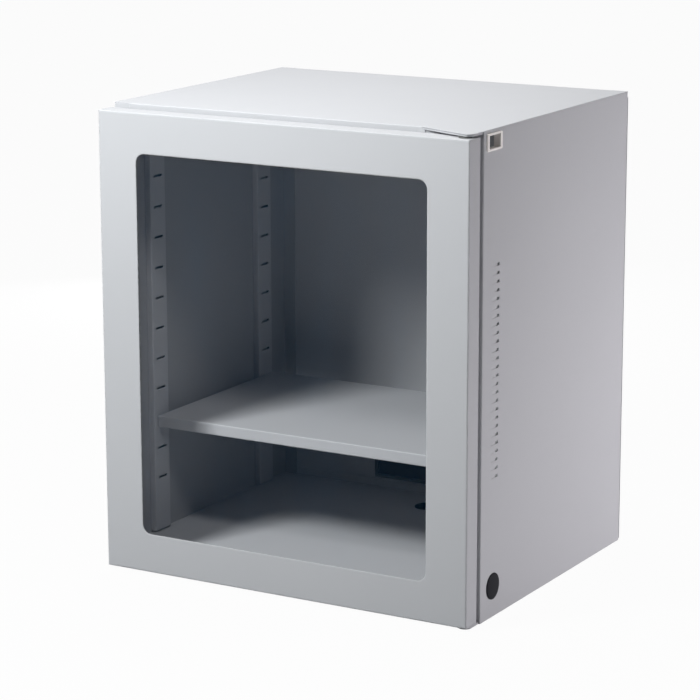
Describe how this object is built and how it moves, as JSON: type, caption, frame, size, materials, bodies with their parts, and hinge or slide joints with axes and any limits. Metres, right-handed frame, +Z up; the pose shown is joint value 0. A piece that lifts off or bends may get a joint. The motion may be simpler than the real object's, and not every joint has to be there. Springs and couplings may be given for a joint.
{
  "type": "rack cabinet",
  "caption": "Sheet-steel equipment cabinet with a glazed pivot-hinged door, side vents and cable ports, and a lift-out shelf on clips in slotted uprights.",
  "frame": {"origin": "on the floor under the middle of the cabinet", "axes": "+Z up, +X to the right as seen facing the door, +Y from the door to the rear"},
  "size_m": [0.6548, 0.55, 0.75],
  "materials": {
    "grey_paint": "light cool grey powder coat, fine orange peel, satin",
    "zinc_steel": "bright zinc plated",
    "bush_plastic": "natural moulded",
    "catch_plastic": "white moulded",
    "magnet_iron": "dull dark grey",
    "black_rubber": "matte black",
    "port_plastic": "warm grey moulded, fine grain",
    "plug_plastic": "black moulded, satin",
    "frame_plastic": "dark grey moulded",
    "pane_glass": "clear, polished"
  },
  "bodies": {
    "cabinet": {"right_side_panel": "grey_paint", "left_side_panel": "grey_paint", "top_panel": "grey_paint", "bottom_panel": "grey_paint", "rear_panel": "grey_paint", "front_right_upright": "grey_paint", "front_left_upright": "grey_paint", "rear_right_upright": "grey_paint", "rear_left_upright": "grey_paint", "front_right_shelf_clip": "zinc_steel", "front_left_shelf_clip": "zinc_steel", "rear_right_shelf_clip": "zinc_steel", "rear_left_shelf_clip": "zinc_steel", "upper_hinge_plate": "grey_paint", "lower_hinge_plate": "grey_paint", "hinge_pins": "zinc_steel", "upper_magnet_catch": "catch_plastic", "lower_magnet_catch": "catch_plastic", "catch_magnets": "magnet_iron", "door_buffers": "black_rubber", "right_port_frame": "port_plastic", "left_port_frame": "port_plastic", "blanking_plugs": "plug_plastic", "rear_cable_flap": "black_rubber", "rear_cable_frame": "frame_plastic"},
    "door": {"door_frame": "grey_paint", "window_pane": "pane_glass", "glazing_gasket": "black_rubber", "top_glazing_strip": "grey_paint", "bottom_glazing_strip": "grey_paint", "left_glazing_strip": "grey_paint", "right_glazing_strip": "grey_paint", "hinge_bushes": "bush_plastic", "pivot_brackets": "zinc_steel"},
    "shelf": {"shelf": "grey_paint"}
  },
  "joints": [
    {"name": "door_hinge", "type": "hinge", "parent": "cabinet", "child": "door", "pos_m": [0.308, -0.256, 0.3745], "axis": [0, 0, 1], "range_deg": [0, 180]},
    {"name": "shelf_lift", "type": "slide", "parent": "cabinet", "child": "shelf", "axis": [0, 0, 1], "range_m": [0, 0.05]}
  ]
}
